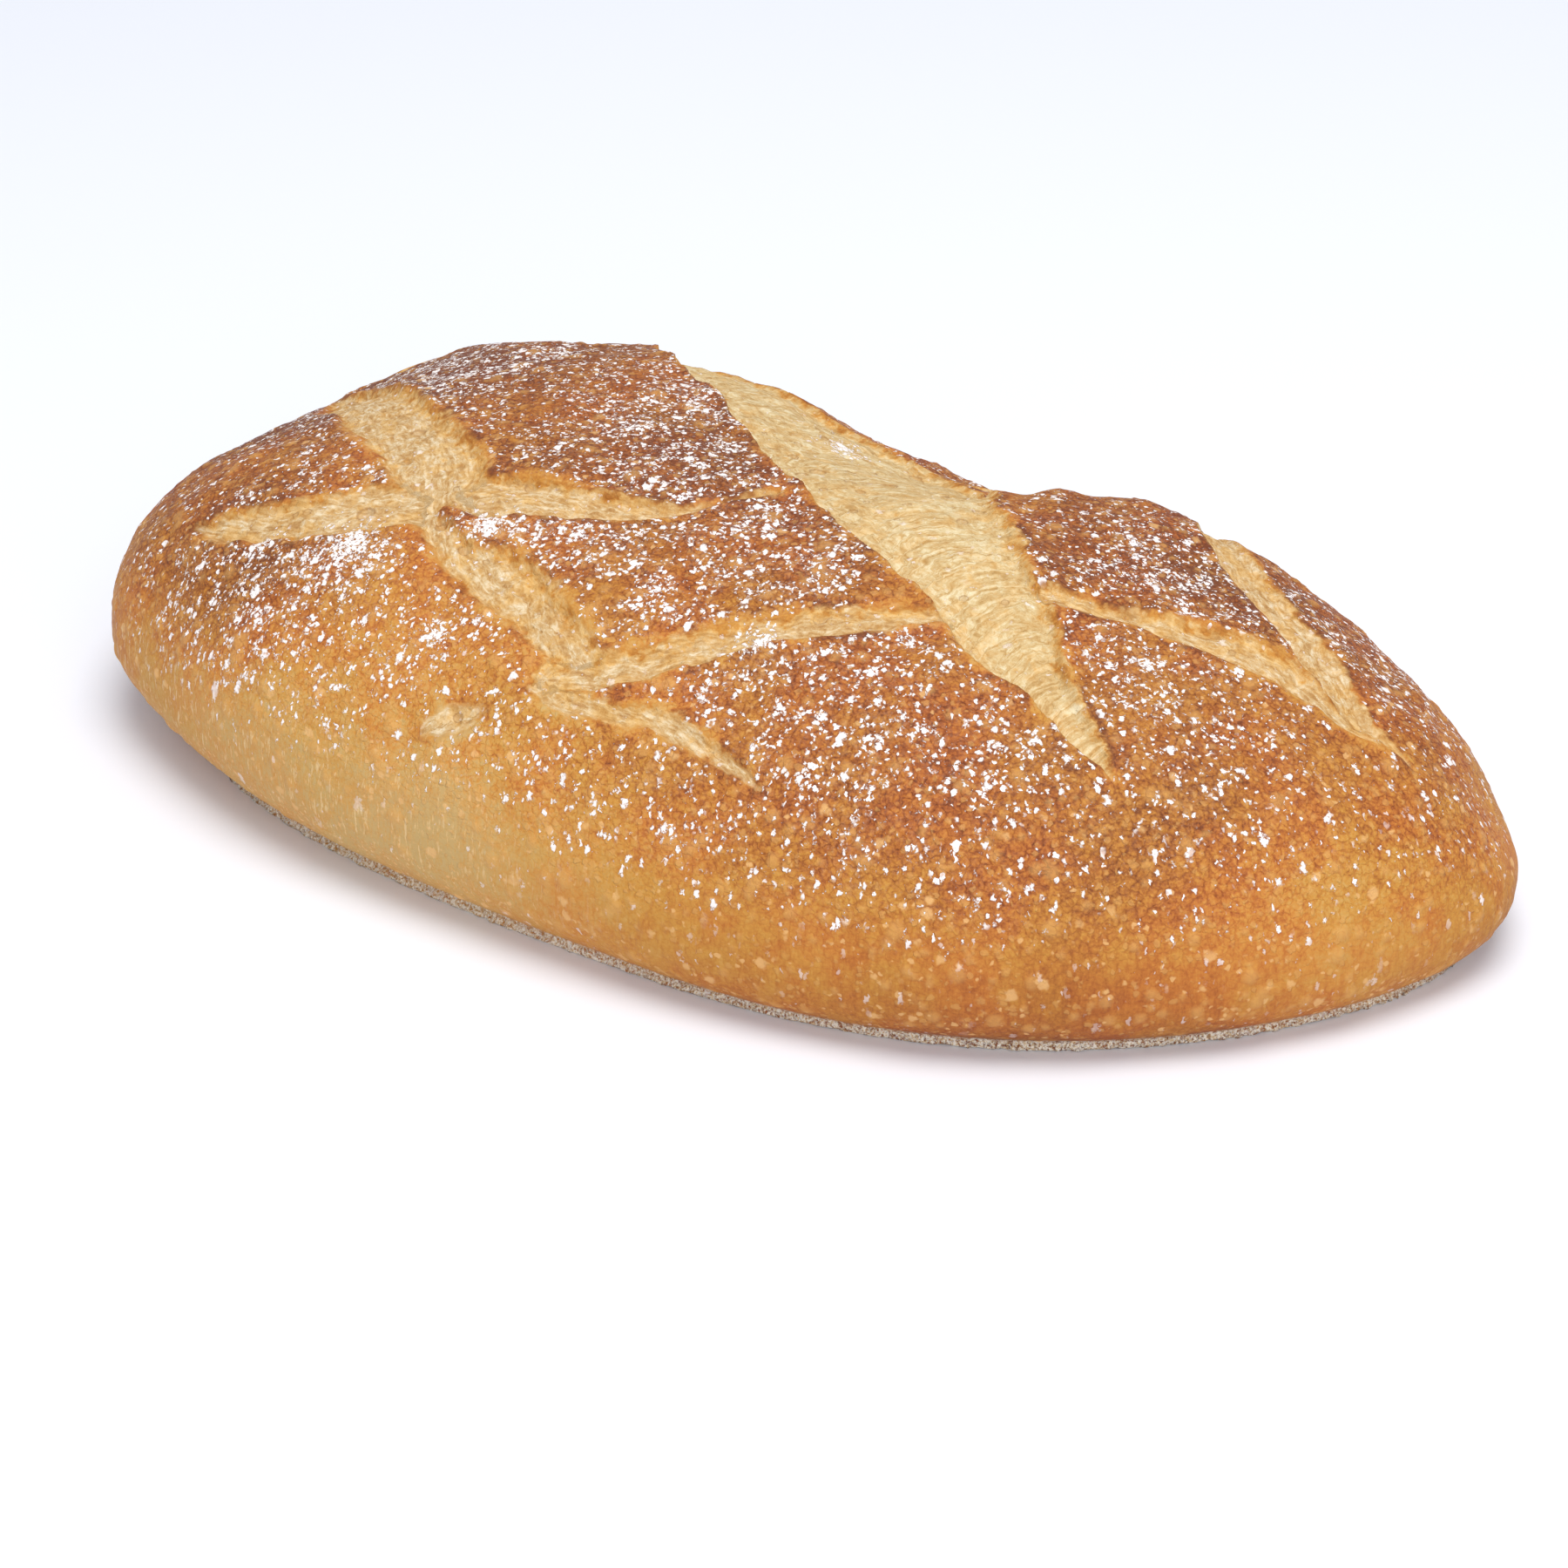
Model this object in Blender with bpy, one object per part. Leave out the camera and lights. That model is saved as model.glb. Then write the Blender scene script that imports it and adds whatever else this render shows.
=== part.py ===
"""A crusty white loaf, scored in a lattice and dusted with flour: one solid on a flat base."""
import math

import bpy
import numpy as np

MM = 0.001

# Body
HALF_LENGTH = 160.0 * MM
HALF_WIDTH = 89.0 * MM
CROWN = 72.5 * MM  # height of the top over the middle
CROWN_SLOPE = -0.095  # the -X end stands taller
CROWN_CURVE = 0.088  # and both ends hold their height
CROWN_LEAN = 0.011
WAIST = 17.6 * MM  # height of the widest line
WAIST_SLOPE = -0.204
BASE_SHARE = 0.815  # size of the flat base against the waist, without its rim
BASE_SHARE_SHIFT = 0.049
PLAN_POWER = 2.745  # 2 is an ellipse, more is squarer
PLAN_POWER_SHIFT = -0.845  # the +X end is rounder
ARCH_POWER = 2.086
ARCH_POWER_SHIFT = -0.038
ROLL_POWER = 1.887  # how the side tucks under to the base
ROLL_POWER_SHIFT = 0.273
RIM = 0.46  # share of that tuck that the pressed rim of the base takes back
RIM_HEIGHT = 3.0 * MM
TAPER = -0.052  # the -X end is wider
EGG = -0.089
SKEW_RIGHT = 14.0 * MM  # how far each tip swings towards +Y
SKEW_LEFT = 5.8 * MM
SLUMPS = [  # x, y, reach along x and y, drop, all mm: where the crust sank, or swelled if negative
    (-2, 58, 36, 40, 9.2),
    (-6, 70, 9, 12, -1.7),
    (18, 64, 8, 8, 1.4),
    (68, 46, 24, 20, -3.8),
    (27, 51, 10, 11, 5.4),
    (39, 42, 4.5, 5, -1.8),
    (55, 50, 6, 5, -1.5),
    (-72, 62, 14, 22, -1.8),
    (-33, 66, 9, 9, 1.3),
    (-128, 24, 20, 18, 2.6),
    (-145, 6, 18, 28, 1.7),
    (-160, -8, 15, 50, -4.0),
    (-142, -64, 18, 22, -1.7),
    (154, 30, 13, 20, 3.4),
]

# Cuts: x, y and half width in mm along the middle line of each
CUTS = {
    "main": [
        (-100, 80, 1.0), (-90, 76, 6.0), (-74, 67, 11.0), (-51.5, 58, 16.6), (-28.4, 48, 22.2),
        (-4.5, 34, 27.1), (18, 12, 20.5), (43, -5.5, 14.8), (61, -18, 11.3), (76, -28, 6.0),
        (90, -34.5, 3.2), (98, -38, 0.5),
    ],
    "west": [
        (-150, 26, 1.0), (-140, 17.5, 6.0), (-129, 9.5, 9.5), (-107, -5.6, 10.0), (-87, -20, 10.5),
        (-72, -31, 11.0), (-61, -43, 9.0), (-48, -51, 7.5), (-34, -56.5, 7.0), (-20, -61, 6.5),
        (-10, -65, 5.0),
    ],
    "west tail": [
        (-16, -73, 2.5), (-6, -73.5, 3.6), (4, -72, 3.6), (13, -71, 3.6), (22, -71.5, 3.0),
        (30, -72.3, 2.0), (38, -74, 0.5),
    ],
    "east": [
        (60, 72, 1.0), (66, 60, 5.0), (76, 48, 6.5), (87, 38, 6.3), (95, 33, 6.0), (102, 28, 5.5),
        (111, 22, 5.5), (121, 15, 4.6), (130, 11.5, 3.2), (139, 11, 0.5),
    ],
    "low west": [
        (-120, -56.5, 1.0), (-112, -56, 5.0), (-100, -54.5, 6.5), (-85, -49.5, 8.0), (-70, -42, 8.5),
    ],
    "low cross": [
        (-74, -44, 7.0), (-66, -40, 8.5), (-50, -33, 8.5), (-38, -30.5, 5.8), (-28, -27, 5.0),
        (-19, -22.5, 3.4), (-11, -14, 1.2), (-3, -6, 2.6),
    ],
    "mid cross": [
        (-14, -70, 5.0), (-4, -65, 6.0), (5, -59.5, 6.0), (12, -53, 6.0), (20, -46, 5.5), (30, -38.5, 5.0),
        (40, -31, 4.0), (50, -23.5, 3.0),
    ],
    "mid cross end": [
        (64, -3.5, 4.4), (72, -0.5, 3.4), (80, 2, 3.2), (88, 4.5, 4.6), (95, 7.5, 5.4), (103, 9.5, 5.8),
        (112, 10, 5.0), (121, 8.5, 3.6), (128, 8, 2.2), (133, 8.5, 0.5),
    ],
    "nick": [(-38, -84.5, 0.8), (-34, -82.6, 3.7), (-29.5, -80.7, 3.6), (-25.5, -79, 0.8)],
    "far cross": [(12, 60, 3.0), (24, 66, 5.0), (38, 72, 5.5), (52, 77, 4.5), (62, 80, 0.8)],
    "far west cross": [
        (-146, 28, 1.0), (-136, 46, 4.0), (-122, 60, 5.0), (-106, 70, 5.0), (-90, 78, 2.0),
    ],
}
# Each cut: depth along its +Y and -Y edges, and how far the crust beside them lifts or sinks, mm
SHAPES = {
    "main": (1.6, 3.6, 0.9, 1.3),
    "west": (1.7, 1.2, 0.4, 0.3),
    "west tail": (1.2, 0.8, 0.2, 0.3),
    "east": (1.6, 2.0, 0.4, 0.8),
    "low west": (1.1, 1.4, 0.1, 0.4),
    "low cross": (1.6, 1.8, 0.4, 0.7),
    "mid cross": (1.7, 1.6, -0.5, 0.7),
    "mid cross end": (1.5, 1.6, 0.2, 0.7),
    "nick": (0.8, 0.8, 0.1, 0.1),
    "far cross": (2.0, 2.6, 0.7, 1.2),
    "far west cross": (2.2, 2.2, 0.5, 0.6),
}
# Tongues of crust left standing in the cuts
TONGUES = {
    "middle plate": [(-62, -42.5, 1.2), (-54, -44, 2.4), (-45, -43, 4.4)],
    "near plate": [(-2, -70.2, 1.0), (4, -68, 2.2), (12, -63.5, 4.0)],
}
WALL = 2.8 * MM  # run of a cut's side from crust to floor
FULL_DEPTH_WIDTH = 5.0 * MM  # half width from which a cut is as deep as its shape says
FLOOR_BULGE = 0.14  # share of a cut's depth that its floor swells back
BLEND = 1.6 * MM  # rounding where the floors of two cuts meet
LIP_REACH = 3.4 * MM
SKIRT = 9.0 * MM  # relief fades out this near the base

# Unevenness: wavelength and height in mm, and seed
WANDER = [(16.0, 1.6, 11), (5.0, 0.8, 14)]  # sideways, of the cuts' edges
LIP_WAVE = 9.0 * MM
LIP_SEED = 21
SWELL = [(42.0, 0.9, 31), (20.0, 0.5, 32)]
GRAIN = [(8.0, 0.45, 33), (4.5, 0.3, 34)]  # crust only
FLOOR_WAVE = [(7.0, 0.5, 35)]  # floors of the cuts only
GRAIN_FADE = 3.0 * MM
LOW_GRAIN = 0.3  # share of the crust's grain left on the flanks

# How finely the skin is made
RINGS = 230
TURNS = 190
BASE_STEPS = 0.3  # density of points across the flat base against the rest
TRIANGLES = 10400
TIP = 0.2 * MM  # how far the last point of each end stands beyond its ring


def swing(along):
    """Sideways place of the body's middle."""
    return SKEW_RIGHT * np.clip(along, 0.0, None) ** 3 + SKEW_LEFT * np.clip(-along, 0.0, None) ** 3


def body_level(points):
    """1 on the plain body's surface, less inside it."""
    x, y, z = points[..., 0], points[..., 1], points[..., 2]
    along = x / HALF_LENGTH
    wide = HALF_WIDTH * (1.0 + TAPER * along + EGG * (along * along - 0.3))
    across = (y - swing(along)) / wide
    turn = along / np.maximum(np.hypot(along, across), 1e-9)
    power = PLAN_POWER + PLAN_POWER_SHIFT * turn
    plan = (np.abs(along) ** power + np.abs(across) ** power) ** (1.0 / power)
    waist = WAIST * (1.0 + WAIST_SLOPE * along)
    crown = CROWN * (1.0 + CROWN_SLOPE * along + CROWN_CURVE * along ** 2 + CROWN_LEAN * across)
    power = ARCH_POWER + ARCH_POWER_SHIFT * turn
    rise = np.clip((z - waist) / (crown - waist), 0.0, None)
    upper = (plan ** power + rise ** power) ** (1.0 / power)
    power = ROLL_POWER + ROLL_POWER_SHIFT * turn
    share = BASE_SHARE + BASE_SHARE_SHIFT * turn
    drop = np.clip(1.0 - z / waist, 0.0, 1.0)
    rim = RIM * np.clip(1.0 - z / RIM_HEIGHT, 0.0, 1.0) ** 2
    reach = share + (1.0 - share) * ((1.0 - drop ** power) ** (1.0 / power) + rim)
    level = np.where(z >= waist, upper, plan / reach)
    return np.where(z < 0.0, 2.0, level)


def body_point(x, roll):
    """Where a ray from the middle of the section at x meets the plain body; roll 0 is up, 90 is +Y."""
    along = x / HALF_LENGTH
    middle = swing(along)
    centre = WAIST * (1.0 + WAIST_SLOPE * along)
    near = np.zeros_like(x * roll)
    far = np.full_like(near, 0.16)
    for _ in range(36):
        reach = 0.5 * (near + far)
        y = middle + reach * np.sin(roll)
        points = np.stack([x + 0.0 * reach, y, centre + reach * np.cos(roll)], -1)
        inside = body_level(points) < 1.0
        near = np.where(inside, reach, near)
        far = np.where(inside, far, reach)
    y = middle + near * np.sin(roll)
    return np.stack([x + 0.0 * near, y, np.maximum(centre + near * np.cos(roll), 0.0)], -1)


def body_top(x, y):
    """Height of the plain body over a plan position."""
    low = WAIST * (1.0 + WAIST_SLOPE * x / HALF_LENGTH)
    high = low + CROWN
    for _ in range(32):
        middle = 0.5 * (low + high)
        inside = body_level(np.stack([x, y, middle], -1)) < 1.0
        low = np.where(inside, middle, low)
        high = np.where(inside, high, middle)
    return low


def ripple(points, wavelength, seed):
    """Seeded smooth bumps between -1 and 1."""
    size = 32
    table = np.random.default_rng(seed).uniform(-1.0, 1.0, (size, size, size))
    scaled = points / wavelength
    corner = np.floor(scaled).astype(int)
    part = scaled - corner
    part = part * part * (3.0 - 2.0 * part)
    total = np.zeros(points.shape[:-1])
    for i in (0, 1):
        for j in (0, 1):
            for k in (0, 1):
                weight = np.ones(points.shape[:-1])
                for axis, step in enumerate((i, j, k)):
                    share = part[..., axis]
                    weight = weight * (share if step else 1.0 - share)
                cell = [(corner[..., axis] + step) % size for axis, step in enumerate((i, j, k))]
                total += weight * table[cell[0], cell[1], cell[2]]
    return total


def waves(points, layers):
    """Sum of ripples given as wavelength, height and seed."""
    return sum(height * MM * ripple(points, length * MM, seed) for length, height, seed in layers)


def smooth_line(knots, step):
    """A curve through the knots, sampled about every step."""
    knots = np.array(knots, float)
    ends = np.vstack([2.0 * knots[0] - knots[1], knots, 2.0 * knots[-1] - knots[-2]])
    found = []
    for i in range(1, len(ends) - 2):
        before, start, stop, after = ends[i - 1:i + 3]
        count = max(1, int(math.ceil(np.linalg.norm(stop[:2] - start[:2]) / step)))
        for t in np.arange(count) / count:
            a = 2.0 * start
            b = (stop - before) * t
            c = (2.0 * before - 5.0 * start + 4.0 * stop - after) * t * t
            d = (3.0 * start - before - 3.0 * stop + after) * t ** 3
            found.append(0.5 * (a + b + c + d))
    found.append(knots[-1])
    return np.array(found)


def line_field(points, knots):
    """Distance outside a tapering line's edge, place across it, and its half width there."""
    line = smooth_line(knots, 3.5) * MM
    half = np.maximum(line[:, 2], 0.3 * MM)
    middle = np.stack([line[:, 0], line[:, 1], body_top(line[:, 0], line[:, 1])], -1)
    best = np.full(len(points), 1e9)
    across = np.zeros(len(points))
    width = np.ones(len(points)) * MM
    for start, stop, w0, w1 in zip(middle[:-1], middle[1:], half[:-1], half[1:]):
        edge = stop - start
        share = np.clip((points - start) @ edge / (edge @ edge), 0.0, 1.0)
        gap = points - (start + share[:, None] * edge)
        distance = np.linalg.norm(gap, axis=1)
        wide = w0 + (w1 - w0) * share
        closer = distance - wide < best
        side = np.where(edge[0] * gap[:, 1] > edge[1] * gap[:, 0], 1.0, -1.0)
        best = np.where(closer, distance - wide, best)
        across = np.where(closer, distance * side, across)
        width = np.where(closer, wide, width)
    return best, across, width


def smooth_step(value):
    value = np.clip(value, 0.0, 1.0)
    return value * value * (3.0 - 2.0 * value)


def deeper(first, second):
    """The larger of two depths, rounded where they are nearly equal."""
    near = np.clip(1.0 - np.abs(first - second) / BLEND, 0.0, 1.0)
    return np.maximum(first, second) + 0.25 * BLEND * near * near * (np.minimum(first, second) > 0.0)


def scoring(points):
    """How far each point lies outside every cut, and how deep and how lifted the crust is there."""
    places = points.copy()
    for axis in range(3):
        places[:, axis] += waves(points, [(length, height, seed + axis) for length, height, seed in WANDER])
    islands = np.full(len(points), 1e9)
    for knots in TONGUES.values():
        islands = np.minimum(islands, line_field(places, knots)[0])
    outside = np.full(len(points), 1e9)
    depth = np.zeros(len(points))
    lift = np.zeros(len(points))
    sink = np.zeros(len(points))
    for name, knots in CUTS.items():
        far_deep, near_deep, far_lift, near_lift = SHAPES[name]
        gap, across, width = line_field(places, knots)
        gap = np.maximum(gap, -islands)
        size = np.minimum(1.0, 0.25 + 0.75 * width / FULL_DEPTH_WIDTH)
        deep = near_deep + (far_deep - near_deep) * smooth_step(0.5 + 0.5 * across / width)
        inner = smooth_step(-gap / np.minimum(WALL, 0.8 * width))
        bulge = 1.0 - FLOOR_BULGE * np.clip(1.0 - (across / width) ** 2, 0.0, 1.0)
        depth = deeper(depth, deep * MM * size * inner * bulge)
        side = np.where(across > 0.0, far_lift, near_lift) * MM
        side = side * size * np.exp(-np.maximum(gap, 0.0) / LIP_REACH)
        lift = np.maximum(lift, side)
        sink = np.minimum(sink, side)
        outside = np.minimum(outside, gap)
    ragged = 0.75 + 0.9 * ripple(points, LIP_WAVE, LIP_SEED)
    lift = (lift * ragged + sink) * smooth_step(1.0 + outside / WALL)
    return outside, depth, lift


def slump(points, way):
    """How far the upward-facing crust sank in broad hollows."""
    drop = np.zeros(len(points))
    for x, y, long, wide, deep in SLUMPS:
        far = ((points[:, 0] / MM - x) / long) ** 2 + ((points[:, 1] / MM - y) / wide) ** 2
        upward = smooth_step(1.6 * way[:, 2]) if deep > 0.0 else 1.0
        drop = drop + deep * MM * np.exp(-far) * upward
    return drop


def relief(points, way):
    """How far the crust stands out from the plain body."""
    outside, depth, lift = scoring(points)
    crust = smooth_step(outside / GRAIN_FADE)
    high = smooth_step((points[:, 2] - 0.3 * CROWN) / (0.4 * CROWN))
    rise = waves(points, SWELL) + (1.0 - crust) * waves(points, FLOOR_WAVE)
    rise = rise + (LOW_GRAIN + (1.0 - LOW_GRAIN) * high) * crust * waves(points, GRAIN) + lift - depth
    return (rise - slump(points, way)) * smooth_step(points[:, 2] / SKIRT)


def outward(points):
    """Directions square to the plain body."""
    step = 0.1 * MM
    slopes = []
    for axis in range(3):
        move = np.zeros(3)
        move[axis] = step
        slopes.append(body_level(points + move) - body_level(points - move))
    way = np.stack(slopes, -1)
    return way / np.maximum(np.linalg.norm(way, axis=-1, keepdims=True), 1e-12)


def even(values, lengths, count):
    """Values spread so that each step covers the same length."""
    run = np.concatenate([[0.0], np.cumsum(lengths)])
    return np.interp(np.linspace(0.0, run[-1], count), run, values)


def stations(count):
    """Places along the loaf, closer together where the ends round off."""
    fine = HALF_LENGTH * np.sin(np.linspace(-0.5, 0.5, 3001) * math.pi * 0.9995)
    steps = np.zeros(len(fine) - 1)
    for roll in (0.0, 0.25 * math.pi, 0.5 * math.pi):
        edge = body_point(fine, roll)
        steps = np.maximum(steps, np.linalg.norm(np.diff(edge, axis=0), axis=1))
    return even(fine, steps, count)


def turns(count, base_share):
    """Directions round a section, sparser across the flat base."""
    fine = np.linspace(-math.pi, math.pi, 4001)
    ring = body_point(np.zeros_like(fine), fine)
    steps = np.linalg.norm(np.diff(ring, axis=0), axis=1)
    flat = (ring[1:, 2] < 1e-6) & (ring[:-1, 2] < 1e-6)
    return even(fine, np.where(flat, base_share * steps, steps), count + 1)[:-1]


def loaf_mesh(ring_count, turn_count):
    """Points and faces of one closed skin, with a single point at each end."""
    xs = stations(ring_count)
    rolls = turns(turn_count, BASE_STEPS)
    skin = body_point(xs[:, None], rolls[None, :]).reshape(-1, 3)
    way = outward(skin)
    flat = skin[:, 2] < 1e-6
    way[flat] = (0.0, 0.0, -1.0)
    skin = skin + way * relief(skin, way)[:, None]
    skin[:, 2] = np.where(flat, 0.0, np.maximum(skin[:, 2], 0.0))
    first = skin[:turn_count].mean(0) + (-TIP, 0.0, 0.0)
    last = skin[-turn_count:].mean(0) + (TIP, 0.0, 0.0)
    points = np.vstack([skin, first, last])
    faces = []
    for i in range(ring_count - 1):
        for j in range(turn_count):
            k = (j + 1) % turn_count
            a = i * turn_count
            b = a + turn_count
            faces.append((a + j, b + j, b + k, a + k))
    tail = len(skin)
    head = tail + 1
    start = (ring_count - 1) * turn_count
    for j in range(turn_count):
        k = (j + 1) % turn_count
        faces.append((tail, j, k))
        faces.append((head, start + k, start + j))
    return points, faces


def build():
    for item in list(bpy.data.objects):
        bpy.data.objects.remove(item, do_unlink=True)
    points, faces = loaf_mesh(RINGS, TURNS)
    low = points.min(0)
    high = points.max(0)
    points = points - np.array([0.5 * (low[0] + high[0]), 0.5 * (low[1] + high[1]), 0.0])
    mesh = bpy.data.meshes.new("loaf")
    mesh.from_pydata(points.tolist(), [], faces)
    mesh.update()
    loaf = bpy.data.objects.new("loaf", mesh)
    bpy.context.scene.collection.objects.link(loaf)
    thin = loaf.modifiers.new("thin", "DECIMATE")
    thin.ratio = TRIANGLES / (2.0 * RINGS * TURNS)
    thin.use_collapse_triangulate = True
    graph = bpy.context.evaluated_depsgraph_get()
    kept = bpy.data.meshes.new_from_object(loaf.evaluated_get(graph))
    loaf.modifiers.clear()
    loaf.data = kept
    bpy.data.meshes.remove(mesh)
    kept.name = "loaf"
    for vertex in kept.vertices:
        if vertex.co.z < 0.02 * MM:
            vertex.co.z = 0.0
    for face in kept.polygons:
        face.use_smooth = True
    crust = bpy.data.materials.new("crust")
    crust.use_nodes = True
    surface = crust.node_tree.nodes["Principled BSDF"]
    surface.inputs["Base Color"].default_value = (0.52, 0.27, 0.095, 1.0)
    surface.inputs["Roughness"].default_value = 0.62
    kept.materials.clear()
    kept.materials.append(crust)


build()
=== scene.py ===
"""Looks of the scored, floured white loaf: crust, open cuts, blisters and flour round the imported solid."""

import math

import bpy
import numpy as np
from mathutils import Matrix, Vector


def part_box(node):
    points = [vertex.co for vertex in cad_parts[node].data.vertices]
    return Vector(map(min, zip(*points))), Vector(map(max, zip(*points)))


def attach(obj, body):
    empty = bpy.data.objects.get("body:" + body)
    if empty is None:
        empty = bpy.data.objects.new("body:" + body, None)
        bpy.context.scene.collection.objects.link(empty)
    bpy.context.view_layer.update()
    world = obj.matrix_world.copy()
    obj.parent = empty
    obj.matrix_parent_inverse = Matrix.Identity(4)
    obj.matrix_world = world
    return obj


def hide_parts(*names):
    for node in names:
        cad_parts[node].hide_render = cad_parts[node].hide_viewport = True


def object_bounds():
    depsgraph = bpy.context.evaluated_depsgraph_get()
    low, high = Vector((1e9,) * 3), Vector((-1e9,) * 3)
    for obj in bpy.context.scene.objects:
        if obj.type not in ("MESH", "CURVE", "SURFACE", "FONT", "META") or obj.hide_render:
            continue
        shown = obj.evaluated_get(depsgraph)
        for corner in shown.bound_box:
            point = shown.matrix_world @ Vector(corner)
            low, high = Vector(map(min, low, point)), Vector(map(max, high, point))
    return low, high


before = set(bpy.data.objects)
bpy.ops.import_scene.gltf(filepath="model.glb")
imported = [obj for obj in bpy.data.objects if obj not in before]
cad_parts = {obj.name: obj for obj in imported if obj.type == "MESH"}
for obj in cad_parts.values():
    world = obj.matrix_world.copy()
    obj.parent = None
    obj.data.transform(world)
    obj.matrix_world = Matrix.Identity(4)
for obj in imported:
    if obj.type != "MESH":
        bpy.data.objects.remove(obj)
cad_box = [list(corner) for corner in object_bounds()]

MM = 0.001

# Body
HALF_LENGTH = 160.0 * MM
HALF_WIDTH = 89.0 * MM
CROWN = 72.5 * MM  # height of the top over the middle
CROWN_SLOPE = -0.095  # the -X end stands taller
CROWN_CURVE = 0.088  # and both ends hold their height
CROWN_LEAN = 0.011
WAIST = 17.6 * MM  # height of the widest line
WAIST_SLOPE = -0.204
BASE_SHARE = 0.815  # size of the flat base against the waist, without its rim
BASE_SHARE_SHIFT = 0.049
PLAN_POWER = 2.745  # 2 is an ellipse, more is squarer
PLAN_POWER_SHIFT = -0.845  # the +X end is rounder
ARCH_POWER = 2.086
ARCH_POWER_SHIFT = -0.038
ROLL_POWER = 1.887  # how the side tucks under to the base
ROLL_POWER_SHIFT = 0.273
RIM = 0.46  # share of that tuck that the pressed rim of the base takes back
RIM_HEIGHT = 3.0 * MM
TAPER = -0.052  # the -X end is wider
EGG = -0.089
SKEW_RIGHT = 14.0 * MM  # how far each tip swings towards +Y
SKEW_LEFT = 5.8 * MM
SLUMPS = [  # x, y, reach along x and y, drop, all mm: where the crust sank, or swelled if negative
    (-2, 58, 36, 40, 9.2),
    (-6, 70, 9, 12, -1.7),
    (18, 64, 8, 8, 1.4),
    (68, 46, 24, 20, -3.8),
    (27, 51, 10, 11, 5.4),
    (39, 42, 4.5, 5, -1.8),
    (55, 50, 6, 5, -1.5),
    (-72, 62, 14, 22, -1.8),
    (-33, 66, 9, 9, 1.3),
    (-128, 24, 20, 18, 2.6),
    (-145, 6, 18, 28, 1.7),
    (-160, -8, 15, 50, -4.0),
    (-142, -64, 18, 22, -1.7),
    (154, 30, 13, 20, 3.4),
]

# Cuts: x, y and half width in mm along the middle line of each
CUTS = {
    "main": [
        (-100, 80, 1.0), (-90, 76, 6.0), (-74, 67, 11.0), (-51.5, 58, 16.6), (-28.4, 48, 22.2),
        (-4.5, 34, 27.1), (18, 12, 20.5), (43, -5.5, 14.8), (61, -18, 11.3), (76, -28, 6.0),
        (90, -34.5, 3.2), (98, -38, 0.5),
    ],
    "west": [
        (-150, 26, 1.0), (-140, 17.5, 6.0), (-129, 9.5, 9.5), (-107, -5.6, 10.0), (-87, -20, 10.5),
        (-72, -31, 11.0), (-61, -43, 9.0), (-48, -51, 7.5), (-34, -56.5, 7.0), (-20, -61, 6.5),
        (-10, -65, 5.0),
    ],
    "west tail": [
        (-16, -73, 2.5), (-6, -73.5, 3.6), (4, -72, 3.6), (13, -71, 3.6), (22, -71.5, 3.0),
        (30, -72.3, 2.0), (38, -74, 0.5),
    ],
    "east": [
        (60, 72, 1.0), (66, 60, 5.0), (76, 48, 6.5), (87, 38, 6.3), (95, 33, 6.0), (102, 28, 5.5),
        (111, 22, 5.5), (121, 15, 4.6), (130, 11.5, 3.2), (139, 11, 0.5),
    ],
    "low west": [
        (-120, -56.5, 1.0), (-112, -56, 5.0), (-100, -54.5, 6.5), (-85, -49.5, 8.0), (-70, -42, 8.5),
    ],
    "low cross": [
        (-74, -44, 7.0), (-66, -40, 8.5), (-50, -33, 8.5), (-38, -30.5, 5.8), (-28, -27, 5.0),
        (-19, -22.5, 3.4), (-11, -14, 1.2), (-3, -6, 2.6),
    ],
    "mid cross": [
        (-14, -70, 5.0), (-4, -65, 6.0), (5, -59.5, 6.0), (12, -53, 6.0), (20, -46, 5.5), (30, -38.5, 5.0),
        (40, -31, 4.0), (50, -23.5, 3.0),
    ],
    "mid cross end": [
        (64, -3.5, 4.4), (72, -0.5, 3.4), (80, 2, 3.2), (88, 4.5, 4.6), (95, 7.5, 5.4), (103, 9.5, 5.8),
        (112, 10, 5.0), (121, 8.5, 3.6), (128, 8, 2.2), (133, 8.5, 0.5),
    ],
    "nick": [(-38, -84.5, 0.8), (-34, -82.6, 3.7), (-29.5, -80.7, 3.6), (-25.5, -79, 0.8)],
    "far cross": [(12, 60, 3.0), (24, 66, 5.0), (38, 72, 5.5), (52, 77, 4.5), (62, 80, 0.8)],
    "far west cross": [
        (-146, 28, 1.0), (-136, 46, 4.0), (-122, 60, 5.0), (-106, 70, 5.0), (-90, 78, 2.0),
    ],
}
# Each cut: depth along its +Y and -Y edges, and how far the crust beside them lifts or sinks, mm
SHAPES = {
    "main": (1.6, 3.6, 0.9, 1.3),
    "west": (1.7, 1.2, 0.4, 0.3),
    "west tail": (1.2, 0.8, 0.2, 0.3),
    "east": (1.6, 2.0, 0.4, 0.8),
    "low west": (1.1, 1.4, 0.1, 0.4),
    "low cross": (1.6, 1.8, 0.4, 0.7),
    "mid cross": (1.7, 1.6, -0.5, 0.7),
    "mid cross end": (1.5, 1.6, 0.2, 0.7),
    "nick": (0.8, 0.8, 0.1, 0.1),
    "far cross": (2.0, 2.6, 0.7, 1.2),
    "far west cross": (2.2, 2.2, 0.5, 0.6),
}
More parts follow.
